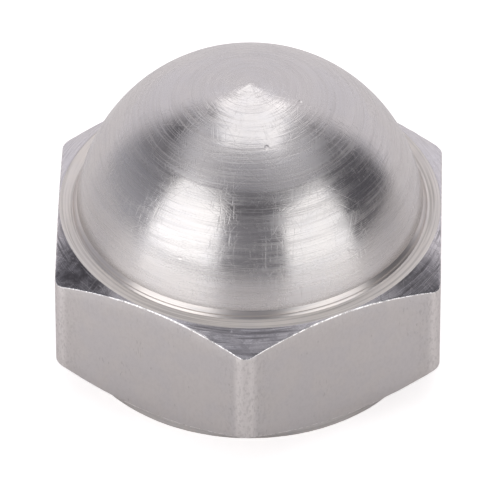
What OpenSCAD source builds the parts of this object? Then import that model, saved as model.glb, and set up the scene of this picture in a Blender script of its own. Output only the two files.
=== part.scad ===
// Low hexagon cap nut, turned and milled from one piece of bright steel bar.
// Millimetres. The bearing face lies on Z = 0, the thread axis is Z, and the
// dome points up. Two wrench flats face -X and +X, and a corner faces -Y.

/* [Hexagon] */
// Width of the hexagon across two opposite flats
across_flats = 19; // [16:0.5:30]
// Height of the hexagon's flat top face above the bearing face
hexagon_height = 7.8; // [6:0.1:10]
// Radius that rounds the six upright corners of the bar
corner_radius = 0.75; // [0.2:0.05:1.5]

/* [Bearing collar] */
// Height of the round collar that the nut bears on
collar_height = 0.75; // [0.3:0.05:1.2]
// How far the collar's wall lies inside the flats
collar_inset = 0.6; // [0.3:0.05:1.2]
// Small bevel on the collar's lower edge
collar_edge_break = 0.12; // [0.05:0.01:0.25]
// Slope of the lower corner chamfers, measured from level
lower_chamfer_angle = 30; // [20:1:40]

/* [Upper chamfer and ring] */
// Slope of the upper corner chamfers, measured from level
upper_chamfer_angle = 30; // [20:1:40]
// How far the upper chamfer's circle lies inside the flats
chamfer_inset = 0.08; // [0.02:0.01:0.3]
// Width of the flat ring between the chamfer and the dome's foot
ring_width = 0.67; // [0.4:0.01:1.5]

/* [Dome] */
// Overall height of the nut
total_height = 15.5; // [13:0.1:24]
// Height of the upright land at the dome's foot
land_height = 0.2; // [0.15:0.01:0.6]
// Radius of the fillet between the ring and the land
foot_fillet = 0.08; // [0.03:0.01:0.12]
// How far the dome's widest circle lies inside the land
dome_inset = 0.08; // [0.02:0.01:0.3]
// How much longer the crown's arc radius is than the dome's
crown_flattening = 0.68; // [0.3:0.01:1]
// Slope of the small cone that runs up from the crown's arc to its tip
tip_slope = 9; // [5:0.5:10]
// How far the crown lowers the top of the dome's own arc
crown_drop = 0.09; // [0.03:0.01:0.15]

/* [Threaded hole] */
// Diameter of the hole before it is threaded, a tap drill for M12
drill_diameter = 10.2; // [6:0.1:12]
// Point angle of the drill
drill_point_angle = 118; // [90:1:140]
// Metal left between the drill's point and the top of the dome
crown_wall = 1.95; // [1:0.05:4]
// How far the mouth's countersink opens past the hole's wall, on the radius
mouth_opening = 1.2; // [0.4:0.05:1.6]
// Included angle of the mouth's countersink
mouth_angle = 120; // [60:1:140]

/* [Hidden] */

$fn = 180;
HEXAGON_SIDES = 6;
HALF_SIDE_ANGLE = 180 / HEXAGON_SIDES;
CUT_OVERLAP = 1;
// An arc reaches this far past the line that it blends into, so that they cross.
ARC_OVERLAP = 0.0005;

flat_distance = across_flats / 2;
corner_distance = flat_distance / cos(HALF_SIDE_ANGLE);
corner_centre_distance = corner_distance - corner_radius / cos(HALF_SIDE_ANGLE);

collar_r = flat_distance - collar_inset;
ring_r = flat_distance - chamfer_inset;
land_r = ring_r - ring_width;
land_top = hexagon_height + land_height;
dome_root = hexagon_height - CUT_OVERLAP;

dome_r = land_r - dome_inset;
dome_centre = total_height + crown_drop - dome_r;
crown_r = dome_r + crown_flattening;
crown_centre = total_height - crown_r / cos(tip_slope);
tip_foot = crown_r * sin(tip_slope);

hole_r = drill_diameter / 2;
point_height = hole_r / tan(drill_point_angle / 2);
hole_depth = total_height - crown_wall - point_height;
mouth_r = hole_r + mouth_opening;
mouth_depth = mouth_opening / tan(mouth_angle / 2);

// Outline of the bar: a hexagon whose corners are true arcs.
module bar_outline() {
    corner_angles = [for (i = [0 : HEXAGON_SIDES - 1]) (2 * i + 1) * HALF_SIDE_ANGLE];
    polygon([
        for (corner = corner_angles, side = [-1, 1])
            corner_centre_distance * [cos(corner), sin(corner)]
            + corner_radius * [cos(corner + side * HALF_SIDE_ANGLE), sin(corner + side * HALF_SIDE_ANGLE)]
    ]);
    for (corner = corner_angles)
        rotate(corner) translate([corner_centre_distance, 0]) circle(r = corner_radius + ARC_OVERLAP);
}

// Half section of the turned base: collar, lower chamfer, upper chamfer, ring.
module base_section() {
    lower_rise = (corner_distance - collar_r) * tan(lower_chamfer_angle);
    upper_fall = (corner_distance - ring_r) * tan(upper_chamfer_angle);
    polygon([
        [0, 0],
        [collar_r - collar_edge_break, 0],
        [collar_r, collar_edge_break],
        [collar_r, collar_height],
        [corner_distance, collar_height + lower_rise],
        [corner_distance, hexagon_height - upper_fall],
        [ring_r, hexagon_height],
        [0, hexagon_height]
    ]);
}

// Half section of the land and the fillet that joins it to the ring.
module land_section() {
    translate([0, dome_root]) square([land_r, land_top - dome_root]);
    difference() {
        translate([0, dome_root]) square([land_r + foot_fillet, CUT_OVERLAP + foot_fillet]);
        translate([land_r + foot_fillet, hexagon_height + foot_fillet]) circle(r = foot_fillet);
    }
}

// Half section of the crown: a flatter arc that ends in a low cone.
module crown_section() {
    translate([0, crown_centre]) circle(r = crown_r + ARC_OVERLAP);
    polygon([
        [0, crown_centre],
        [tip_foot, crown_centre],
        [tip_foot, total_height - tip_foot * tan(tip_slope)],
        [0, total_height]
    ]);
}

// Half section of the dome: a straight skirt where the nut is tall enough to
// have one, then the side's arc and the crown.
module dome_section() {
    translate([0, dome_root]) square([dome_r, max(hexagon_height, dome_centre) - dome_root]);
    intersection() {
        translate([0, dome_centre]) circle(r = dome_r);
        crown_section();
        translate([0, dome_root]) square([dome_r, total_height]);
    }
}

// Half section of the hole: drilled wall, drill point and countersunk mouth.
module hole_section() {
    polygon([
        [0, -CUT_OVERLAP],
        [mouth_r, -CUT_OVERLAP],
        [mouth_r, 0],
        [hole_r, mouth_depth],
        [hole_r, hole_depth],
        [0, hole_depth + point_height]
    ]);
}

module hexagon_base() {
    intersection() {
        linear_extrude(height = hexagon_height + CUT_OVERLAP) bar_outline();
        rotate_extrude() base_section();
    }
}

module dome() {
    rotate_extrude() {
        land_section();
        dome_section();
    }
}

module threaded_hole() {
    rotate_extrude() hole_section();
}

module cap_nut() {
    color([0.72, 0.71, 0.70])
        difference() {
            union() {
                hexagon_base();
                dome();
            }
            threaded_hole();
        }
}

cap_nut();
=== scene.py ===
"""Low hexagon cap nut in bright steel, shown on a pale studio floor.

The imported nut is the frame: its box gives the width across flats and the
height. One finished piece stands for it here, turned, milled and tapped as
the real one is, with a finish of its own on each machined surface.
"""

import logging
import math
from dataclasses import dataclass, field
from enum import IntEnum
from typing import Callable, Optional, Union

import bmesh
import bpy
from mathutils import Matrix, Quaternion, Vector, noise

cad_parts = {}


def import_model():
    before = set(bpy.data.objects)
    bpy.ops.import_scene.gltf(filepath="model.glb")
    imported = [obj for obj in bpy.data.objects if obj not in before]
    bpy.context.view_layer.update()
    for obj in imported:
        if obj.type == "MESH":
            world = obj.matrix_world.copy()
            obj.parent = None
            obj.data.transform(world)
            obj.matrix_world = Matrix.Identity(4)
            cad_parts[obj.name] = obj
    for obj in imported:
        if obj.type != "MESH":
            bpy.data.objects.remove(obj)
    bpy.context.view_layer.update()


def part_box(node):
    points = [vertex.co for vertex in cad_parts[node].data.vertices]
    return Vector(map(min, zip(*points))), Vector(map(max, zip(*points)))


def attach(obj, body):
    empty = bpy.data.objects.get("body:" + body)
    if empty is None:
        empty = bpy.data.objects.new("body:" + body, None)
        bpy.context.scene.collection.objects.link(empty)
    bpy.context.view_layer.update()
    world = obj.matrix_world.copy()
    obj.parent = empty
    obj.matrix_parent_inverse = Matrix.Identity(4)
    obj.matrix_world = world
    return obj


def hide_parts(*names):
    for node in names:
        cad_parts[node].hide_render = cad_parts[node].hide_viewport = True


LOG = logging.getLogger("cap_nut")
MM = 0.001
NODE = "cap_nut"
HEXAGON_SIDES = 6
SIDE_ANGLE = math.tau / HEXAGON_SIDES
# A broken corner or a supporting row takes up this share of a line, or of one of its runs, at most.
MOST_OF_LINE = 0.8
# Share of each colour channel that is left where the steel looks cooler.
COOL_CAST = (0.975, 0.982, 1.0)
# Shares of the mark roughness that strokes, long scratches and short ones add.
CROSSED_SHARES = (0.45, 0.15, 0.12)
# The camera is aimed at this share of the nut's height.
AIM_SHARE = 0.307

Colour = tuple[float, float, float]
Point = tuple[float, float]
Socket = bpy.types.NodeSocket
Sockets = bpy.types.bpy_prop_collection
Value = Union[float, Colour, Socket]


class Surface(IntEnum):
    """The machined surfaces of the nut, in the order of its material slots."""

    CROWN = 0
    DOME_SIDE = 1
    DOME_FOOT = 2
    RING = 3
    TOP_CHAMFER = 4
    EDGE = 5
    FLAT = 6
    LOWER_CHAMFER = 7
    COLLAR = 8
    BEARING_FACE = 9
    BORE = 10


# ------------------------ sections


@dataclass(frozen=True)
class Corner:
    """One corner of a turned section.

    Args:
        r: Distance from the axis, in millimetres.
        z: Height, in millimetres.
        surface: The surface that runs on from this corner.
        blend: Radius that breaks the corner; 0 leaves it crisp.
        runs: Number of equal lengths that the line after it is cut into.
        blend_surface: The surface of the broken corner itself.
    """

    r: float
    z: float
    surface: Surface
    blend: float = 0.0
    runs: int = 1
    blend_surface: Optional[Surface] = None


@dataclass
class Section:
    """A half section of the nut: points from the drill point to the apex."""

    points: list[Point] = field(default_factory=list)
    surfaces: list[Surface] = field(default_factory=list)

    def add(self, point: Point, surface: Surface) -> None:
        """Adds a point and the surface of the line that follows it."""
        self.points.append(point)
        self.surfaces.append(surface)

    def add_line(self, start: Point, end: Point, corner: Corner, support: float) -> None:
        """Adds the straight run from one corner to the next.

        Args:
            start: Where the run starts.
            end: Where the run ends; its point belongs to the next corner.
            corner: The corner that the run follows.
            support: Length next to each end that gets a row of its own, so
                that shading stays flat up to the edge.
        """
        stops = [i / corner.runs for i in range(corner.runs)]
        if corner.runs > 1:
            near = min(support / math.dist(start, end), MOST_OF_LINE / corner.runs)
            stops = [0.0, near] + stops[1:] + [1 - near]
        for t in stops:
            self.add(tuple(a + (b - a) * t for a, b in zip(start, end)), corner.surface)

    @staticmethod
    def ends(corners: list[Corner], i: int) -> tuple[Vector, Vector]:
        """Finds where a broken corner leaves the line before it and joins the next line.

        Args:
            corners: The chain of corners; its two ends are never broken.
            i: Number of the corner.

        Returns:
            Both ends of the break, or a crisp corner's own place twice.
        """
        spot = Vector((corners[i].r, corners[i].z))
        if not corners[i].blend or i in (0, len(corners) - 1):
            return spot, spot
        before, after = (Vector((c.r, c.z)) - spot for c in (corners[i - 1], corners[i + 1]))
        back = corners[i].blend / math.tan(before.angle(after) / 2)
        back = min(back, MOST_OF_LINE * before.length, MOST_OF_LINE * after.length)
        return spot + before.normalized() * back, spot + after.normalized() * back

    def add_corners(self, corners: list[Corner], steps: int, support: float) -> None:
        """Adds a chain of corners with their broken edges.

        Args:
            corners: The corners in order; the last one only closes the chain.
            steps: Number of facets over each broken corner.
            support: Length of the supporting rows beside the edges.
        """
        for i, corner in enumerate(corners[:-1]):
            enter, leave = self.ends(corners, i)
            if corner.blend and i:
                spot = Vector((corner.r, corner.z))
                for k in range(steps):
                    t = k / steps
                    p = enter.lerp(spot, t).lerp(spot.lerp(leave, t), t)
                    self.add((p.x, p.y), corner.blend_surface or corner.surface)
            self.add_line(tuple(leave), tuple(self.ends(corners, i + 1)[0]), corner, support)

    def add_arc(self, centre_z: float, radius: float, start: float, end: float,
                steps: int, surface: Surface) -> None:
        """Adds an arc about a centre on the axis.

        Args:
            centre_z: Height of the centre.
            radius: Radius of the arc.
            start: First angle from the axis, in radians.
            end: Last angle from the axis; its point isn't added.
            steps: Number of facets.
            surface: The surface that the arc makes.
        """
        for i in range(steps):
            a = start + (end - start) * i / steps
            self.add((radius * math.sin(a), centre_z + radius * math.cos(a)), surface)


@dataclass
class NutForm:
    """The sizes of the nut, in millimetres, and its half section at any angle."""

    flat_distance: float
    height: float
    hexagon_height: float = 7.8
    corner_radius: float = 0.75
    collar_height: float = 0.75
    collar_radius: float = 8.9
    collar_break: float = 0.12
    lower_slope: float = math.tan(math.radians(30))
    upper_slope: float = math.tan(math.radians(30))
    ring_radius: float = 9.45
    land_radius: float = 8.75
    land_height: float = 0.2
    # The dome's foot is a slope, a short upright just inside the land's wall, and a second slope.
    foot_spread: float = 0.05
    upright_low_inset: float = 0.02
    upright_low_drop: float = 0.09
    upright_high_inset: float = 0.025
    upright_high_drop: float = 0.03
    upper_flare: float = 0.17
    dome_radius: float = 8.67
    dome_centre: float = 6.92
    crown_radius: float = 9.35
    crown_foot: float = 5.773
    tip_slope: float = math.radians(9)
    last_ring: float = 0.03
    last_drop: float = 0.001
    bore_radius: float = 5.1
    bore_height: float = 10.486
    point_height: float = 13.55
    mouth_radius: float = 6.3
    mouth_height: float = 0.693
    fine_break: float = 0.03
    soft_break: float = 0.04
    edge_break: float = 0.08
    break_steps: int = 4
    dome_steps: int = 32
    crown_steps: int = 26
    tip_steps: int = 10
    support: float = 0.06

    @property
    def crown_centre(self) -> float:
        """Height of the centre of the crown's arc."""
        return self.height - self.crown_radius / math.cos(self.tip_slope)

    @property
    def corner_centre(self) -> float:
        """Distance from the axis to the centre of a rounded corner."""
        return (self.flat_distance - self.corner_radius) / math.cos(SIDE_ANGLE / 2)

    @property
    def flat_share(self) -> float:
        """Half the angle about the axis that the straight part of a side takes."""
        return math.atan(self.corner_centre * math.sin(SIDE_ANGLE / 2) / self.flat_distance)

    def bar_radius(self, azimuth: float) -> float:
        """Distance from the axis to the rounded hexagon.

        Args:
            azimuth: Angle about the axis; a flat faces angle 0.

        Returns:
            The distance in millimetres.
        """
        off_flat = abs((azimuth + SIDE_ANGLE / 2) % SIDE_ANGLE - SIDE_ANGLE / 2)
        if off_flat < self.flat_share:
            return self.flat_distance / math.cos(off_flat)
        turn = SIDE_ANGLE / 2 - off_flat
        aside = self.corner_centre * math.sin(turn)
        return self.corner_centre * math.cos(turn) + math.sqrt(self.corner_radius**2 - aside**2)

    def section(self, azimuth: float) -> Section:
        """Works out the half section of the milled nut at one angle.

        Args:
            azimuth: Angle about the axis.

        Returns:
            The section; it has the same number of points at every angle.
        """
        bar = self.bar_radius(azimuth)
        land_top = self.hexagon_height + self.land_height
        foot_top = land_top + self.upper_flare
        foot = math.acos((foot_top - self.dome_centre) / self.dome_radius)
        z_low = self.collar_height + (bar - self.collar_radius) * self.lower_slope
        z_high = self.hexagon_height - (bar - self.ring_radius) * self.upper_slope
        out = Section()
        out.add_corners([
            Corner(0.0, self.point_height, Surface.BORE, runs=3),
            Corner(self.bore_radius, self.bore_height, Surface.BORE),
            Corner(self.bore_radius, self.mouth_height, Surface.BORE),
            Corner(self.mouth_radius, 0.0, Surface.BEARING_FACE, blend=self.soft_break, runs=5),
            Corner(self.collar_radius - self.collar_break, 0.0, Surface.COLLAR,
                   blend=self.fine_break, blend_surface=Surface.EDGE),
            Corner(self.collar_radius, self.collar_break, Surface.COLLAR,
                   blend=self.fine_break, runs=3, blend_surface=Surface.EDGE),
            Corner(self.collar_radius, self.collar_height, Surface.LOWER_CHAMFER,
                   blend=self.soft_break, runs=3),
            Corner(bar, z_low, Surface.FLAT, blend=self.edge_break, runs=8, blend_surface=Surface.EDGE),
            Corner(bar, z_high, Surface.TOP_CHAMFER,
                   blend=self.edge_break, runs=8, blend_surface=Surface.EDGE),
            Corner(self.ring_radius, self.hexagon_height, Surface.RING, blend=self.fine_break, runs=5),
            Corner(self.land_radius + self.foot_spread, self.hexagon_height, Surface.DOME_FOOT,
                   blend=self.fine_break),
            Corner(self.land_radius - self.upright_low_inset, land_top - self.upright_low_drop,
                   Surface.DOME_FOOT, blend=self.fine_break),
            Corner(self.land_radius - self.upright_high_inset, land_top - self.upright_high_drop,
                   Surface.DOME_FOOT, blend=self.soft_break),
            Corner(self.dome_radius * math.sin(foot), foot_top, Surface.DOME_SIDE),
        ], self.break_steps, self.support)
        knee, near = math.asin(self.crown_foot / self.dome_radius), self.support / self.dome_radius
        for start, end, steps in ((foot, foot - near, 1), (foot - near, knee + near, self.dome_steps),
                                  (knee + near, knee, 1)):
            out.add_arc(self.dome_centre, self.dome_radius, start, end, steps, Surface.DOME_SIDE)
        knee, near = math.asin(self.crown_foot / self.crown_radius), self.support / self.crown_radius
        for start, end, steps in ((knee, knee - near, 1), (knee - near, self.tip_slope, self.crown_steps)):
            out.add_arc(self.crown_centre, self.crown_radius, start, end, steps, Surface.CROWN)
        tip_foot = self.crown_radius * math.sin(self.tip_slope)
        for i in range(self.tip_steps, 0, -1):
            r = tip_foot * i / self.tip_steps
            out.add((r, self.height - r * math.tan(self.tip_slope)), Surface.CROWN)
        out.add((self.last_ring, self.height - self.last_drop), Surface.CROWN)
        out.add((0.0, self.height), Surface.CROWN)
        return out


# ------------------------ the nut


@dataclass
class ThreadForm:
    """The internal thread, in millimetres."""

    pitch: float = 1.75
    root_radius: float = 6.0
    inner_radius: float = 4.95
    start: float = -1.75
    end: float = 9.6
    flank: float = math.radians(30)
    root_share: float = 1 / 16
    steps_per_turn: int = 60
    run_out_turns: float = 1.2
    run_out_power: float = 1.5

    def cutter(self) -> bpy.types.Object:
        """Winds the tap's cutting form as one closed body.

        Returns:
            An object that holds the body, for cutting the nut with.
        """
        bm = bmesh.new()
        depth = self.root_radius - self.inner_radius
        root_half = self.pitch * self.root_share
        mouth_half = root_half + depth * math.tan(self.flank)
        corners = [
            bm.verts.new((r, 0.0, self.start + z))
            for r, z in (
                (self.inner_radius, -mouth_half),
                (self.root_radius, -root_half),
                (self.root_radius, root_half),
                (self.inner_radius, mouth_half),
            )
        ]
        face = bm.faces.new(corners)
        turns = (self.end - self.start) / self.pitch
        steps = round(turns * self.steps_per_turn)
        bmesh.ops.spin(
            bm,
            geom=[face, *face.edges, *face.verts],
            cent=(0, 0, 0),
            axis=(0, 0, 1),
            dvec=(0, 0, self.pitch / self.steps_per_turn),
            angle=math.tau * steps / self.steps_per_turn,
            steps=steps,
        )
        fade_from = self.end - self.run_out_turns * self.pitch
        for vert in bm.verts:
            shallow = min(1.0, max(0.0, (vert.co.z - fade_from) / (self.end - fade_from)))
            r = math.hypot(vert.co.x, vert.co.y)
            vert.co.xy *= (r - depth * shallow**self.run_out_power) / r
        bmesh.ops.recalc_face_normals(bm, faces=bm.faces)
        for f in bm.faces:
            f.material_index = Surface.BORE
        return object_from(bm, "thread_cutter")


def object_from(bm: bmesh.types.BMesh, name: str) -> bpy.types.Object:
    """Makes a linked object from a bmesh, and frees the bmesh.

    Args:
        bm: The finished bmesh.
        name: Name of the object and of its mesh.

    Returns:
        The new object.
    """
    mesh = bpy.data.meshes.new(name)
    bm.to_mesh(mesh)
    bm.free()
    made = bpy.data.objects.new(name, mesh)
    bpy.context.scene.collection.objects.link(made)
    return made


@dataclass
class CapNut:
    """The finished nut: turned, milled to its hexagon, tapped and handled."""

    form: NutForm
    thread: ThreadForm
    steps_per_side: int = 64
    steps_per_corner: int = 12
    crisp_angle: float = math.radians(24)
    edge_ripple: float = 0.012
    ripple_pace: float = 4.3
    ripple_limit: float = 0.4
    blank_weld: float = 1e-5
    cut_weld: float = 1e-4

    def azimuths(self) -> list[float]:
        """Angles of the section lines, set closer at the rounded corners."""
        arc = SIDE_ANGLE / 2 - self.form.flat_share
        straight = self.steps_per_side - self.steps_per_corner
        out = []
        for side in range(HEXAGON_SIDES):
            corner = (side - 0.5) * SIDE_ANGLE
            for i in range(self.steps_per_corner):
                out.append(corner - arc + 2 * arc * i / self.steps_per_corner)
            for i in range(straight):
                out.append(corner + arc + (SIDE_ANGLE - 2 * arc) * i / straight)
        return out

    def build(self) -> bpy.types.Object:
        """Makes the nut's mesh, in metres.

        Returns:
            The nut as one closed mesh with its surfaces in material slots.
        """
        blank = object_from(self.turn_and_mill(), "nut_blank")
        cutter = self.thread.cutter()
        cut = blank.modifiers.new("tap", "BOOLEAN")
        cut.operation, cut.solver, cut.object = "DIFFERENCE", "EXACT", cutter
        graph = bpy.context.evaluated_depsgraph_get()
        bm = bmesh.new()
        bm.from_mesh(blank.evaluated_get(graph).to_mesh())
        for spare in (blank, cutter):
            mesh = spare.data
            bpy.data.objects.remove(spare)
            bpy.data.meshes.remove(mesh)
        self.finish_mesh(bm)
        return object_from(bm, "nut_body")

    def turn_and_mill(self) -> bmesh.types.BMesh:
        """Spins the section into a blank and mills the hexagon on it.

        Returns:
            The closed blank, in millimetres.
        """
        bm = bmesh.new()
        row = bm.verts.layers.int.new("row")
        section = self.form.section(0.0)
        chain = []
        for i, (r, z) in enumerate(section.points):
            vert = bm.verts.new((r, 0.0, z))
            vert[row] = i
            chain.append(vert)
        lines = [bm.edges.new(pair) for pair in zip(chain, chain[1:])]
        azimuths = self.azimuths()
        bmesh.ops.spin(bm, geom=chain + lines, cent=(0, 0, 0), axis=(0, 0, 1), angle=math.tau,
                       steps=len(azimuths), use_merge=True)
        sections = [self.form.section(a).points for a in azimuths]
        step = math.tau / len(azimuths)
        for vert in [v for v in bm.verts if math.hypot(v.co.x, v.co.y) > self.blank_weld]:
            column = round(math.atan2(vert.co.y, vert.co.x) / step) % len(azimuths)
            r, z = sections[column][vert[row]]
            a = azimuths[column]
            vert.co = (r * math.cos(a), r * math.sin(a), z)
        for f in bm.faces:
            f.material_index = section.surfaces[min(v[row] for v in f.verts)]
        bmesh.ops.remove_doubles(bm, verts=bm.verts, dist=self.blank_weld)
        bmesh.ops.recalc_face_normals(bm, faces=bm.faces)
        return bm

    def finish_mesh(self, bm: bmesh.types.BMesh) -> None:
        """Ripples the broken edges, smooths the shading and scales to metres.

        Args:
            bm: The tapped nut, in millimetres; it is changed in place.
        """
        bmesh.ops.remove_doubles(bm, verts=bm.verts, dist=self.cut_weld)
        edge_verts = {v for f in bm.faces if f.material_index == Surface.EDGE for v in f.verts}
        for vert in edge_verts:
            shift = self.edge_ripple * (1 + noise.noise(vert.co * self.ripple_pace))
            for edge in vert.link_edges:
                if all(f.material_index != Surface.EDGE for f in edge.link_faces):
                    shift = min(shift, self.ripple_limit * edge.calc_length())
            vert.co -= vert.normal * shift
        bmesh.ops.triangulate(bm, faces=[f for f in bm.faces if len(f.verts) > 4])
        for f in bm.faces:
            f.smooth = True
        for edge in bm.edges:
            if len(edge.link_faces) == 2:
                edge.smooth = edge.calc_face_angle() < self.crisp_angle
        bmesh.ops.scale(bm, vec=(MM, MM, MM), verts=bm.verts)


# ------------------------ finishes


class Wiring:
    """Adds linked nodes to a node tree in single calls."""

    def __init__(self, tree: bpy.types.NodeTree) -> None:
        """Empties the tree and keeps it."""
        self.tree = tree
        tree.nodes.clear()

    def node(self, kind: str, values: dict[Union[str, int], Value], **settings: object) -> bpy.types.Node:
        """Adds one node.

        Args:
            kind: Blender's name of the node type.
            values: Input names or numbers, each with a value or a socket.
            **settings: Properties of the node.

        Returns:
            The new node.
        """
        made = self.tree.nodes.new(kind)
        for name, value in settings.items():
            setattr(made, name, value)
        for key, value in values.items():
            if isinstance(value, bpy.types.NodeSocket):
                self.tree.links.new(value, made.inputs[key])
            else:
                made.inputs[key].default_value = value
        return made

    def maths(self, operation: str, *values: Value, clamp: bool = False) -> Socket:
        """Adds a Math node and returns its result."""
        return self.node("ShaderNodeMath", dict(enumerate(values)), operation=operation,
                         use_clamp=clamp).outputs[0]

    def times(self, first: Value, second: Value) -> Socket:
        """Adds a Math node and returns the product."""
        return self.maths("MULTIPLY", first, second)

    def vector(self, operation: str, *values: Value, result: int = 0) -> Socket:
        """Adds a Vector Math node and returns its vector, or its value as result 1."""
        made = self.node("ShaderNodeVectorMath", dict(enumerate(values)), operation=operation)
        return made.outputs[result]

    def millimetres(self, place: Socket) -> Socket:
        """Turns a place in metres into millimetres."""
        return self.vector("DIVIDE", place, (MM, MM, MM))

    def split(self, vector: Socket) -> Sockets:
        """Adds a Separate XYZ node and returns its parts."""
        return self.node("ShaderNodeSeparateXYZ", {0: vector}).outputs

    def join(self, x: Value, y: Value, z: Value = 0.0) -> Socket:
        """Adds a Combine XYZ node and returns its vector."""
        return self.node("ShaderNodeCombineXYZ", {0: x, 1: y, 2: z}).outputs[0]

    def group(self, tree: bpy.types.NodeTree, values: dict[str, Value]) -> Sockets:
        """Places a node group and returns its outputs."""
        return self.node("ShaderNodeGroup", values, node_tree=tree).outputs

    def noise(self, at: Socket, scale: float, detail: float = 2.0, roughness: float = 0.5) -> Socket:
        """Adds a Noise Texture and returns its value."""
        return self.node("ShaderNodeTexNoise",
                         {"Vector": at, "Scale": scale, "Detail": detail, "Roughness": roughness}).outputs[0]

    def streaks(self, at: Socket, pace: Colour, detail: float = 2.0, roughness: float = 0.5) -> Socket:
        """Adds a Noise Texture with a pace of its own along each axis."""
        return self.noise(self.vector("MULTIPLY", at, pace), 1.0, detail, roughness)

    def between(self, value: Socket, low: float, high: float, to_low: float = 0.0,
                to_high: float = 1.0) -> Socket:
        """Maps a range onto another with soft ends.

        Args:
            value: The value to map.
            low: Value that gives to_low.
            high: Value that gives to_high.
            to_low: Result at and before low.
            to_high: Result at and past high.

        Returns:
            The mapped value.
        """
        return self.node("ShaderNodeMapRange", {0: value, 1: low, 2: high, 3: to_low, 4: to_high},
                         interpolation_type="SMOOTHSTEP").outputs[0]

    def mix(self, share: Value, first: Value, second: Value) -> Socket:
        """Adds a colour mix and returns its colour."""
        first, second = ((*value, 1.0) if isinstance(value, tuple) else value for value in (first, second))
        return self.node("ShaderNodeMix", {0: share, 6: first, 7: second}, data_type="RGBA").outputs[2]


class ToolRun(IntEnum):
    """How the cutting tool travelled over a surface."""

    ARC = 0
    FACING = 1
    ALONG_AXIS = 2
    DRAWN = 3


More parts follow.
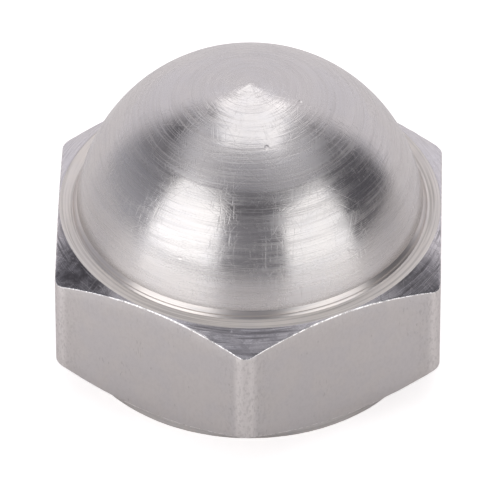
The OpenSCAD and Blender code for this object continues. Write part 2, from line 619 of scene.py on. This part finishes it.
@dataclass
class ShopMarks:
    """The node groups that the finishes share, each built once."""

    groups: dict[str, bpy.types.NodeTree] = field(default_factory=dict)

    def group(self, name: str, inputs: list[str], outputs: list[str],
              fill: Callable[[Wiring, Sockets], list[Socket]]) -> bpy.types.NodeTree:
        """Makes a node group, or returns it if it is there.

        Args:
            name: Name of the group.
            inputs: Names of its inputs; Position is a vector and the others are values.
            outputs: Names of its value outputs.
            fill: Adds the nodes to the inputs' sockets and returns a socket for each output.

        Returns:
            The group.
        """
        if name in self.groups:
            return self.groups[name]
        tree = bpy.data.node_groups.new(name, "ShaderNodeTree")
        for label in inputs:
            kind = "NodeSocketVector" if label == "Position" else "NodeSocketFloat"
            tree.interface.new_socket(name=label, in_out="INPUT", socket_type=kind)
        for label in outputs:
            tree.interface.new_socket(name=label, in_out="OUTPUT", socket_type="NodeSocketFloat")
        wiring = Wiring(tree)
        given = wiring.node("NodeGroupInput", {}).outputs
        wiring.node("NodeGroupOutput", dict(enumerate(fill(wiring, given))))
        self.groups[name] = tree
        return tree

    def tool_path(self) -> bpy.types.NodeTree:
        """Group: distance along the tool's travel, the direction, and the surface laid flat."""

        def fill(w: Wiring, given: Sockets) -> list[Socket]:
            """Adds the nodes of the group.

            Args:
                w: The group's wiring.
                given: The sockets of its inputs.

            Returns:
                A socket for each output.
            """
            x, y, z = w.split(w.millimetres(given["Position"]))
            r = w.vector("LENGTH", w.join(x, y), result=1)
            up = w.maths("SUBTRACT", z, given["Centre"])
            arc = w.times(w.maths("ARCTAN2", r, up), given["Radius"])
            safe = w.maths("MAXIMUM", r, 0.05)
            spread = w.maths("DIVIDE", w.times(given["Radius"], 2.0), w.maths("ADD", given["Radius"], up))
            return [arc, r, w.maths("DIVIDE", x, safe), w.maths("DIVIDE", y, safe), z,
                    w.times(x, spread), w.times(y, spread)]

        return self.group("tool_path", ["Position", "Centre", "Radius"],
                          ["Arc", "Facing", "East", "North", "Height", "Laid X", "Laid Y"], fill)

    def turning(self) -> bpy.types.NodeTree:
        """Group: turning marks that run round the axis and break up."""

        def fill(w: Wiring, given: Sockets) -> list[Socket]:
            """Adds the nodes of the group.

            Args:
                w: The group's wiring.
                given: The sockets of its inputs.

            Returns:
                A socket for each output.
            """
            at = w.join(w.maths("DIVIDE", given["Path"], given["Feed"]),
                        w.times(given["East"], given["Breaks"]), w.times(given["North"], given["Breaks"]))
            fine = w.noise(at, 1.0, 3.0, 0.6)
            arcs = w.between(w.streaks(at, (3.0, 2.0, 2.0), 1.0), 0.50, 0.68)
            swell = w.streaks(at, (0.22, 0.8, 0.8), 1.0)
            height = w.maths("MULTIPLY_ADD", arcs, 0.12, w.times(fine, 0.9))
            height = w.maths("MULTIPLY_ADD", swell, given["Swell"], height)
            rings = w.maths("MULTIPLY_ADD", w.between(swell, 0.42, 0.62), 0.45, w.times(arcs, 0.75))
            ways = w.join(given["Path"], given["East"], given["North"])
            strokes = w.between(w.streaks(ways, (1.5, 75.0, 75.0), 1.0), 0.55, 0.74)
            grouped = w.between(w.streaks(ways, (0.4, 3.0, 3.0)), 0.46, 0.62)
            return [height, rings, fine, w.times(strokes, grouped)]

        return self.group("turning_marks", ["Path", "East", "North", "Feed", "Breaks", "Swell"],
                          ["Height", "Rings", "Fine", "Strokes"], fill)

    def drawing(self) -> bpy.types.NodeTree:
        """Group: the upright lines and fine grain of drawn bar."""

        def fill(w: Wiring, given: Sockets) -> list[Socket]:
            """Adds the nodes of the group.

            Args:
                w: The group's wiring.
                given: The sockets of its inputs.

            Returns:
                A socket for each output.
            """
            at, near = w.millimetres(given["Position"]), given["Near Edge"]
            lines = w.streaks(at, (5.0, 5.0, 0.22), 2.0, 0.6)
            grain = w.streaks(at, (6.0, 6.0, 4.0), 3.0, 0.65)
            clusters = w.between(w.maths("ADD", w.noise(at, 0.45, 1.0), near), 0.60, 0.74)
            dashes = w.between(w.streaks(at, (11.0, 11.0, 3.2), 0.0), 0.66, 0.78)
            drawn = w.maths("MULTIPLY_ADD", near, 6.0, 0.5)
            rubbed = w.maths("MULTIPLY_ADD", near, 180.0, 0.3)
            height = w.maths("MULTIPLY_ADD", lines, drawn, w.times(grain, rubbed))
            specks = w.between(w.streaks(at, (8.0, 8.0, 4.5)), 0.48, 0.66)
            specks = w.times(specks, w.times(near, 6.0))
            return [height, w.maths("MAXIMUM", w.times(dashes, clusters), specks), grain]

        return self.group("drawing_marks", ["Position", "Near Edge"], ["Height", "Dashes", "Grain"], fill)

    def edges(self) -> bpy.types.NodeTree:
        """Group: how close a point of a flat is to an edge, and where the upright corners are lighter,
        partly from wear and partly as a painted highlight.
        """

        def fill(w: Wiring, given: Sockets) -> list[Socket]:
            """Adds the nodes of the group.

            Args:
                w: The group's wiring.
                given: The sockets of its inputs.

            Returns:
                A socket for each output.
            """
            x, y, z = w.split(w.millimetres(given["Position"]))
            r = w.vector("LENGTH", w.join(x, y), result=1)
            upper = w.between(z, 4.8, 7.4, 0.0, 0.055)
            # Corner marks the rounded upright corners, which are painted lighter: partly wear, partly a
            # painted highlight.
            return [w.maths("MAXIMUM", upper, w.between(r, 10.0, 10.7, 0.0, 0.11)), w.between(r, 10.6, 10.8)]

        return self.group("near_edges", ["Position"], ["Near Edge", "Corner"], fill)

    def handling(self) -> bpy.types.NodeTree:
        """Group: small pits near the edges, nicks, cloudy patches and small blots."""

        def fill(w: Wiring, given: Sockets) -> list[Socket]:
            """Adds the nodes of the group.

            Args:
                w: The group's wiring.
                given: The sockets of its inputs.

            Returns:
                A socket for each output.
            """
            at = w.millimetres(given["Position"])
            pitted = w.vector("MULTIPLY", at, (1.0, 1.0, 0.5))
            cells = w.node("ShaderNodeTexVoronoi", {"Vector": pitted, "Scale": 3.4}).outputs
            chosen = w.between(w.maths("ADD", w.noise(at, 0.8), given["Near Edge"]), 0.60, 0.70)
            pits = w.times(w.between(cells["Distance"], 0.06, 0.22, 1.0, 0.0), chosen)
            spots = w.node("ShaderNodeTexVoronoi", {"Vector": at, "Scale": 0.7}).outputs
            picked = w.maths("GREATER_THAN", w.split(spots["Color"])[0], 0.55)
            nicks = w.times(w.between(spots["Distance"], 0.03, 0.10, 1.0, 0.0), picked)
            return [pits, nicks, w.noise(at, 0.6, 4.0, 0.62), w.noise(at, 1.6, 4.0, 0.7)]

        return self.group("handling_marks", ["Position", "Near Edge"],
                          ["Pits", "Nicks", "Clouds", "Blots"], fill)

    def scratching(self) -> bpy.types.NodeTree:
        """Group: long straight scratches and a haze of short ones, on a surface laid flat."""

        def fill(w: Wiring, given: Sockets) -> list[Socket]:
            """Adds the nodes of the group.

            Args:
                w: The group's wiring.
                given: The sockets of its inputs.

            Returns:
                A socket for each output.
            """
            laid = w.join(given["Laid X"], given["Laid Y"])
            layers = []
            for along, across, low, high, turns in ((0.22, 9.0, 0.755, 0.82, (0.4, 1.15, 2.0, 2.75)),
                                                    (0.6, 11.0, 0.66, 0.78, (0.1, 0.75, 1.5, 2.3))):
                layer = 0.0
                for turn in turns:
                    turned = w.node("ShaderNodeMapping", {"Vector": laid, "Rotation": (0.0, 0.0, turn)})
                    apart = (17 * turn, 5 * turn, 3 * turn)
                    streak = w.vector("MULTIPLY_ADD", turned.outputs[0], (along, across, 1.0), apart)
                    layer = w.maths("MAXIMUM", layer, w.between(w.noise(streak, 1.0, 0.0), low, high))
                layers.append(layer)
            return layers

        return self.group("scratch_marks", ["Laid X", "Laid Y"], ["Scratches", "Haze"], fill)


@dataclass(frozen=True)
class CornerShade:
    """Painted shade on the near left and near right corners, with lengths in millimetres.

    Args:
        depth: How far the painted shade darkens the left corner, from 0 to 1.
        right_share: Share of that at the right corner.
        right_side: How far to the right that share is reached.
        sides: How far to the side the stain begins and is whole.
        slant: How much a step to the side counts against one to the back.
        far_end: Where the stain fades to the back, on the slanted measure.
        front_tip: How far to the side the front chamfer's tips lie, which are painted lighter.
        tip_width: How far from a tip its clean part fades.
        tip_share: Share of the marks' darkness that is left at a tip.
        rear: Where the back, which is painted lighter, begins, as distances behind the middle.
        rear_share: Share of the marks' darkness that is left there.
    """

    depth: float
    right_share: float = 0.45
    right_side: float = 4.0
    sides: Point = (4.5, 8.0)
    slant: float = 4.0
    far_end: Point = (32.0, 34.4)
    front_tip: float = 4.75
    tip_width: Point = (1.2, 2.6)
    tip_share: float = 0.35
    rear: Point = (-2.0, 1.0)
    rear_share: float = 0.4

    def over(self, w: Wiring, place: Socket, handled: Sockets, dark: Socket) -> Socket:
        """Lays the painted shade over the darkness of the marks.

        Args:
            w: The material's wiring.
            place: The position on the nut.
            handled: The outputs of the handling marks.
            dark: The darkness of the marks.

        Returns:
            The darkness of both, with painted glints: bright specks where nicks and pits lift the darkening.
        """
        x, y, _ = w.split(w.millimetres(place))
        across = w.maths("ABSOLUTE", x)
        # Painted shade: darkest at the near left corner, less at the right, fading towards the back, mottled
        # by blots.
        stain_and_shade = w.between(across, *self.sides, 0.0, self.depth)
        stain_and_shade = w.times(stain_and_shade, w.between(x, 0.0, self.right_side, 1.0, self.right_share))
        slanted = w.maths("MULTIPLY_ADD", across, self.slant, y)
        stain_and_shade = w.times(stain_and_shade, w.between(slanted, *self.far_end, 1.0, 0.0))
        stain_and_shade = w.times(stain_and_shade, w.between(handled["Blots"], 0.40, 0.62, 0.6, 1.25))
        # The front chamfer's tips and its back are painted lighter: the marks' darkness is lessened there.
        off_tip = w.maths("ABSOLUTE", w.maths("SUBTRACT", across, self.front_tip))
        dark = w.times(dark, w.between(off_tip, *self.tip_width, self.tip_share, 1.0))
        dark = w.times(dark, w.between(y, *self.rear, 1.0, self.rear_share))
        # Painted glints: nicks and pits lift the darkening to bright specks.
        glints = w.maths("MAXIMUM", handled["Nicks"], handled["Pits"])
        return w.times(w.maths("MAXIMUM", dark, stain_and_shade), w.between(glints, 0.0, 0.7, 1.0, 0.0))


@dataclass(frozen=True)
class SteelFinish:
    """The finish of one machined surface, with lengths in millimetres.

    Args:
        name: Name of the material.
        colour: Base colour of clean metal.
        deep: Base colour in marks and pits.
        roughness: Roughness of the metal between the marks.
        spread: How much the turning marks spread a highlight across them.
        feed: Distance between turning marks.
        breaks: How often a mark breaks on its way round.
        swell: Height of the wide waves under the marks, as a share of theirs.
        mark_depth: Height of the turning marks.
        mark_roughness: Roughness that the coarser marks add.
        stroke_depth: Depth of the short strokes across the turning marks.
        scratch_depth: Depth of the long scratches.
        haze_depth: Depth of the short scratches.
        mottle: How far the roughness drifts in cloudy patches.
        stain_and_shade: How far blotches darken the metal, from 0 to 1.
        corner_shade: The stain on the near corners, where there is one.
        wear_and_highlight: Base colour on the upright corners of a drawn surface, lighter partly from wear
            and partly as a painted highlight.
        pit_depth: Depth of the pits.
        nick_depth: Depth of the nicks.
        run: How the tool travelled.
        centre: Height of the arc's centre, for a tool that followed an arc.
        radius: Radius of that arc.
    """

    name: str
    colour: Colour
    deep: Colour
    roughness: float
    spread: float
    feed: float = 0.1
    breaks: float = 2.5
    swell: float = 0.0
    mark_depth: float = 0.002
    mark_roughness: float = 0.04
    stroke_depth: float = 0.0
    scratch_depth: float = 0.0
    haze_depth: float = 0.0
    mottle: float = 0.06
    stain_and_shade: float = 0.0
    corner_shade: Optional[CornerShade] = None
    wear_and_highlight: Colour = (0.72, 0.69, 0.677)
    pit_depth: float = 0.0
    nick_depth: float = 0.0
    run: ToolRun = ToolRun.FACING
    centre: float = -1000.0
    radius: float = 1000.0

    def grain(self, w: Wiring, marks: ShopMarks, place: Socket, near: Socket) -> tuple[Socket, ...]:
        """Adds the marks that the tool or the die left.

        Args:
            w: The material's wiring.
            marks: The shared node groups.
            place: The position on the nut.
            near: How close that is to an edge of the flats.

        Returns:
            Their height, the coarser marks alone and the finer ones alone, then, on a turned
            surface, the strokes across them, the long scratches and the short ones.
        """
        if self.run is ToolRun.DRAWN:
            drawn = w.group(marks.drawing(), {"Position": place, "Near Edge": near})
            return tuple(drawn[key] for key in ("Height", "Dashes", "Grain"))
        path = w.group(marks.tool_path(), {"Position": place, "Centre": self.centre, "Radius": self.radius})
        travelled = {ToolRun.ARC: "Arc", ToolRun.FACING: "Facing", ToolRun.ALONG_AXIS: "Height"}[self.run]
        turned = w.group(marks.turning(), {
            "Path": path[travelled], "East": path["East"], "North": path["North"],
            "Feed": self.feed, "Breaks": self.breaks, "Swell": self.swell})
        crossed = w.group(marks.scratching(), {key: path[key] for key in ("Laid X", "Laid Y")})
        return (*(turned[key] for key in ("Height", "Rings", "Fine", "Strokes")),
                crossed["Scratches"], crossed["Haze"])

    def darkness(self, w: Wiring, place: Socket, coarse: Socket, fine: Socket, handled: Sockets) -> Socket:
        """Works out where marks, stains, pits and painted shade are dark.

        Args:
            w: The material's wiring.
            place: The position on the nut.
            coarse: The coarser marks.
            fine: The finer marks.
            handled: The outputs of the handling marks.

        Returns:
            The share of the deep colour.
        """
        dark = w.between(fine, 0.60, 0.30)
        if self.run is ToolRun.DRAWN:
            dark = w.maths("MAXIMUM", w.times(dark, 0.1), w.times(coarse, 0.35))
        if self.stain_and_shade:
            blots = w.between(handled["Blots"], 0.46, 0.60, 0.0, self.stain_and_shade)
            dark = w.maths("MAXIMUM", w.times(dark, 0.8), blots)
        # Painted shade on the near corners, with lighter painted tips and back and painted glints.
        if self.corner_shade:
            dark = self.corner_shade.over(w, place, handled, dark)
        if self.pit_depth:
            dark = w.maths("MAXIMUM", dark, w.times(handled["Pits"], 0.45))
        return dark

    def material(self, marks: ShopMarks) -> bpy.types.Material:
        """Builds the finish as a material.

        Args:
            marks: The shared node groups.

        Returns:
            The material.
        """
        made = bpy.data.materials.new(self.name)
        made.use_nodes = True
        w = Wiring(made.node_tree)
        place = w.node("ShaderNodeTexCoord", {}).outputs["Object"]
        edges = w.group(marks.edges(), {"Position": place})
        near = edges["Near Edge"]
        height, coarse, fine, *crossed = self.grain(w, marks, place, near)
        handled = w.group(marks.handling(), {"Position": place, "Near Edge": near})
        relief = w.times(height, self.mark_depth)
        sunk = ((handled["Pits"], self.pit_depth), (handled["Nicks"], self.nick_depth),
                *zip(crossed, (self.stroke_depth, self.scratch_depth, self.haze_depth)))
        for mark, depth in sunk:
            if depth:
                relief = w.maths("MULTIPLY_ADD", mark, -depth, relief)
        cool = tuple(part * share for part, share in zip(self.colour, COOL_CAST))
        clean = w.mix(w.between(handled["Clouds"], 0.40, 0.60), self.colour, cool)
        # Drawn flats are lighter on their upright corners: partly wear, partly a painted highlight.
        if self.run is ToolRun.DRAWN:
            clean = w.mix(edges["Corner"], clean, self.wear_and_highlight)
        rough = w.maths("MULTIPLY_ADD", handled["Clouds"], self.mottle, self.roughness - self.mottle / 2)
        rough = w.maths("MULTIPLY_ADD", coarse, self.mark_roughness, rough, clamp=True)
        if self.stroke_depth:
            for mark, share in zip(crossed, CROSSED_SHARES):
                rough = w.maths("MULTIPLY_ADD", mark, share * self.mark_roughness, rough)
        shader = w.node("ShaderNodeBsdfPrincipled", {
            "Base Color": w.mix(self.darkness(w, place, coarse, fine, handled), clean, self.deep),
            "Metallic": 1.0, "Roughness": rough,
            "Normal": w.node("ShaderNodeBump", {"Height": relief, "Distance": MM}).outputs[0],
            "Anisotropic": self.spread, "Anisotropic Rotation": 0.25})
        w.node("ShaderNodeOutputMaterial", {0: shader.outputs[0]})
        return made


def nut_finishes(form: NutForm) -> dict[Surface, SteelFinish]:
    """Lists the finish of each machined surface.

    Args:
        form: The nut's sizes, for the arcs that the tool followed.

    Returns:
        A finish for every surface.
    """
    steel = (0.63, 0.606, 0.592)
    shaded = (0.59, 0.567, 0.555)
    deep = (0.50, 0.481, 0.473)
    return {
        Surface.CROWN: SteelFinish(
            "crown_turned", steel, shaded, 0.17, 0.4, feed=0.2, breaks=0.8, swell=0.5, mark_depth=0.0085,
            nick_depth=0.012, stroke_depth=0.0020, scratch_depth=0.0012, haze_depth=0.0014,
            mark_roughness=0.18, mottle=0.25, run=ToolRun.ARC, centre=form.crown_centre,
            radius=form.crown_radius),
        Surface.DOME_SIDE: SteelFinish(
            "dome_turned", steel, shaded, 0.20, 0.35, feed=0.12, breaks=1.4, swell=0.8, mark_depth=0.0012,
            nick_depth=0.012, stroke_depth=0.0026, scratch_depth=0.0012, haze_depth=0.0013,
            mark_roughness=0.15, mottle=0.1, run=ToolRun.ARC, centre=form.dome_centre,
            radius=form.dome_radius),
        Surface.DOME_FOOT: SteelFinish(
            "foot_turned", (0.70, 0.652, 0.615), (0.565, 0.543, 0.532), 0.29, 0.2, feed=0.06,
            mark_depth=0.001, run=ToolRun.ALONG_AXIS),
        Surface.RING: SteelFinish(
            "ring_turned", (0.86, 0.82, 0.78), (0.60, 0.57, 0.54), 0.62, 0.5, feed=0.12, breaks=1.2,
            mark_depth=0.006, haze_depth=0.001, mark_roughness=0.1),
        # The top chamfer carries painted shade on its near corners.
        Surface.TOP_CHAMFER: SteelFinish(
            "chamfer_turned", (0.67, 0.646, 0.655), (0.19, 0.18, 0.188), 0.13, 0.4, feed=0.11, breaks=3.5,
            mark_depth=0.005, scratch_depth=0.0018, haze_depth=0.002, mark_roughness=0.16, mottle=0.3,
            stain_and_shade=0.38, corner_shade=CornerShade(0.72)),
        Surface.EDGE: SteelFinish(
            "edge_worn", (0.95, 0.93, 0.92), (0.42, 0.405, 0.40), 0.22, 0.0, feed=0.15, breaks=60.0,
            mark_depth=0.03, stain_and_shade=0.9),
        Surface.FLAT: SteelFinish(
            "flat_drawn", (0.59, 0.563, 0.552), (0.30, 0.28, 0.275), 0.45, 0.0, mark_depth=0.0012,
            pit_depth=0.004, run=ToolRun.DRAWN),
        Surface.LOWER_CHAMFER: SteelFinish("lower_chamfer_turned", steel, deep, 0.34, 0.5),
        Surface.COLLAR: SteelFinish("collar_turned", steel, deep, 0.3, 0.5, run=ToolRun.ALONG_AXIS),
        Surface.BEARING_FACE: SteelFinish("bearing_face_turned", steel, deep, 0.32, 0.7, feed=0.15),
        Surface.BORE: SteelFinish("thread_tapped", deep, (0.36, 0.35, 0.345), 0.35, 0.0,
                                  run=ToolRun.ALONG_AXIS),
    }


# ------------------------ studio


@dataclass(frozen=True)
class SoftBox:
    """One soft lamp.

    Args:
        name: Name of the lamp.
        centre: Where it hangs, in metres.
        facing: The direction it shines in.
        size: Width and height, in metres.
        level: Radiance, where 1 is as bright as white paper.
        roll: Turn about the direction it shines in, in degrees.
    """

    name: str
    centre: Colour
    facing: Colour
    size: Point
    level: float
    roll: float = 0.0

    def hang(self) -> None:
        """Adds the lamp to the scene."""
        lamp = bpy.data.lights.new(self.name, "AREA")
        lamp.shape = "RECTANGLE"
        lamp.size, lamp.size_y = self.size
        lamp.energy = self.level * math.pi * self.size[0] * self.size[1]
        holder = bpy.data.objects.new(self.name, lamp)
        holder.location = self.centre
        level = Vector(self.facing).to_track_quat("-Z", "Y")
        holder.rotation_euler = (level @ Quaternion((0, 0, 1), math.radians(self.roll))).to_euler()
        holder.visible_camera = False
        bpy.context.scene.collection.objects.link(holder)


@dataclass
class Studio:
    """Pale floor, soft lamps, a white sweep behind and the camera."""

    aim: Vector
    camera_turn: float = math.radians(1.25)
    camera_height: float = math.radians(40.45)
    camera_distance: float = 0.456
    lens: float = 659.7
    floor_radius: float = 0.7
    floor_sides: int = 96
    floor_gap: float = 0.00001
    lamp_distance: float = 0.8
    lamp_roll: float = 0.2
    under_nut: Point = (0.0087, 0.0089)
    pool_start: Point = (0.017, 0.026)
    camera_lift: float = 0.62
    mirrored_lift: float = 0.125
    hidden_lift: float = 0.7

    def towards(self, azimuth: float, elevation: float = 0.0) -> Vector:
        """A direction from the nut, by degrees right of the camera and above the floor."""
        a, e = math.radians(azimuth) + self.camera_turn, math.radians(elevation)
        return Vector((math.sin(a) * math.cos(e), -math.cos(a) * math.cos(e), math.sin(e)))

    def build(self) -> None:
        """Sets up the floor, the lamps, the surroundings and the camera."""
        self.lay_floor()
        self.hang_lamps()
        self.paint_room()
        self.place_camera()
        bpy.context.scene.view_settings.view_transform = "Standard"

    def lay_floor(self) -> None:
        """Lays the round pale floor that keeps the nut's shadow."""
        bm = bmesh.new()
        bmesh.ops.create_circle(bm, cap_ends=True, radius=self.floor_radius, segments=self.floor_sides)
        bmesh.ops.translate(bm, vec=(0.0, 0.0, -self.floor_gap), verts=bm.verts)
        floor = object_from(bm, "floor")
        paper = bpy.data.materials.new("floor_paper")
        paper.use_nodes = True
        w = Wiring(paper.node_tree)
        rays = w.node("ShaderNodeLightPath", {}).outputs
        sheet = w.node("ShaderNodeBsdfPrincipled", {"Base Color": (0.86, 0.825, 0.81, 1), "Roughness": 0.25})
        glow = w.node("ShaderNodeEmission", {"Color": (1, 1, 1, 1), "Strength": self.glow(w, rays)})
        both = w.node("ShaderNodeAddShader", {0: sheet.outputs[0], 1: glow.outputs[0]})
        back = w.node("ShaderNodeNewGeometry", {}).outputs["Backfacing"]
        clear = w.node("ShaderNodeBsdfTransparent", {})
        shown = w.node("ShaderNodeMixShader", {0: back, 1: both.outputs[0], 2: clear.outputs[0]})
        w.node("ShaderNodeOutputMaterial", {0: shown.outputs[0]})
        floor.data.materials.append(paper)

    def glow(self, w: Wiring, rays: Sockets) -> Socket:
        """Works out how much the floor is lifted towards white.

        Args:
            w: The floor material's wiring.
            rays: The Light Path outputs of that material.

        Returns:
            The lift: even for the camera, and for the metal more on the side of each lamp and
            under the nut, where no camera above the floor sees it.
        """
        place = w.node("ShaderNodeTexCoord", {}).outputs["Object"]
        way = w.vector("NORMALIZE", place)
        out = w.vector("LENGTH", place, result=1)
        pools = []
        for azimuth, share in ((-50.0, 0.26), (45.0, 0.10)):
            facing = w.vector("DOT_PRODUCT", way, self.towards(azimuth), result=1)
            pools.append(w.between(facing, 0.72, 0.97, 0.0, share))
        pool = w.times(w.maths("ADD", *pools), w.between(out, *self.pool_start))
        hidden = w.between(out, *self.under_nut, self.hidden_lift, self.mirrored_lift)
        return w.maths("MULTIPLY_ADD", rays["Is Glossy Ray"], w.maths("ADD", pool, hidden),
                       w.times(rays["Is Camera Ray"], self.camera_lift))

    def hang_lamps(self) -> None:
        """Hangs a tall soft box each side of the camera and one overhead."""
        for name, azimuth, width, low, top, level, turn in (
                ("left_soft_box", -43.6, 52.5, 4.0, 51.2, 1.43, -18.0),
                ("right_soft_box", 44.7, 48.5, 1.0, 43.2, 1.38, 18.0)):
            out = self.towards(azimuth) * self.lamp_distance
            lowest = self.lamp_distance * math.tan(math.radians(low))
            tall = self.lamp_distance * math.tan(math.radians(top)) - lowest
            wide = 2 * self.lamp_distance * math.tan(math.radians(width / 2))
            facing = -self.towards(azimuth + turn)
            SoftBox(name, (out.x, out.y, lowest + tall / 2), tuple(facing), (wide, tall), level,
                    roll=-turn * self.lamp_roll).hang()
        SoftBox("overhead_soft_box", (0.02, 0.334, 0.9), (-0.02, -0.34, -0.9), (0.59, 0.665), 0.98).hang()

    def paint_room(self) -> None:
        """Sets the surroundings: a white sweep behind the nut, a dim room in front."""
        world = bpy.data.worlds.new("studio_room")
        bpy.context.scene.world = world
        world.use_nodes = True
        w = Wiring(world.node_tree)
        way = w.node("ShaderNodeTexCoord", {}).outputs["Generated"]
        sweep = w.between(w.vector("DOT_PRODUCT", way, (0.07, 1, 0), result=1), 0.40, 0.64)
        across, _, above = w.split(way)
        low_left = w.mix(w.between(across, -0.9, -0.2), (0.47, 0.47, 0.515), (0.27, 0.27, 0.295))
        middle = w.mix(w.between(across, -0.9, -0.4), (0.25, 0.247, 0.275), (0.30, 0.295, 0.325))
        left = w.mix(w.between(above, 0.12, 0.52), low_left, middle)
        dim = w.mix(w.between(across, -0.8, -0.3), (0.17, 0.167, 0.185), (0.10, 0.097, 0.112))
        left = w.mix(w.between(above, 0.56, 0.72), left, dim)
        right = w.mix(w.between(above, 0.50, 0.70), (0.105, 0.103, 0.118), (0.20, 0.198, 0.212))
        ceiling = w.mix(w.between(across, -0.44, -0.22), (0.74, 0.73, 0.77), (0.43, 0.425, 0.46))
        ceiling = w.mix(w.between(across, 0.0, 0.45), ceiling, (0.60, 0.595, 0.63))
        walls = w.mix(w.between(across, -0.35, 1.0), left, right)
        raised = w.maths("MULTIPLY_ADD", w.maths("ABSOLUTE", across), 0.2, above)
        walls = w.mix(w.between(raised, 0.84, 0.94), walls, ceiling)
        room = w.mix(sweep, walls, (0.875, 0.85, 0.895))
        seen = w.node("ShaderNodeLightPath", {}).outputs["Is Camera Ray"]
        shown = w.mix(seen, room, (1.0, 1.0, 1.0))
        back = w.node("ShaderNodeBackground", {0: shown, 1: 1.0})
        w.node("ShaderNodeOutputWorld", {0: back.outputs[0]})

    def place_camera(self) -> None:
        """Places the long-lens camera above the front corner of the nut."""
        data = bpy.data.cameras.new("camera")
        data.lens = self.lens
        data.clip_start, data.clip_end = 0.01, 10.0
        camera = bpy.data.objects.new("camera", data)
        back = self.towards(0.0, math.degrees(self.camera_height))
        camera.location = self.aim + back * self.camera_distance
        camera.rotation_euler = (-back).to_track_quat("-Z", "Y").to_euler()
        bpy.context.scene.collection.objects.link(camera)
        bpy.context.scene.camera = camera


# ------------------------ assembly


def main() -> None:
    """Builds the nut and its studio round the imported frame."""
    logging.basicConfig(level=logging.INFO, format="%(name)s: %(message)s")
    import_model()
    low, high = (Vector(corner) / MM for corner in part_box(NODE))
    form = NutForm(flat_distance=(high.x - low.x) / 2, height=high.z)
    nut = CapNut(form, ThreadForm()).build()
    marks = ShopMarks()
    finishes = nut_finishes(form)
    for surface in Surface:
        nut.data.materials.append(finishes[surface].material(marks))
    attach(nut, "root")
    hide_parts(NODE)
    LOG.info("%s: %d faces", nut.name, len(nut.data.polygons))
    aim = Vector(((low.x + high.x) / 2, 0.0, AIM_SHARE * high.z)) * MM
    Studio(aim).build()
    LOG.info("studio: %d lamps", len(bpy.data.lights))


if __name__ == "__main__":
    main()
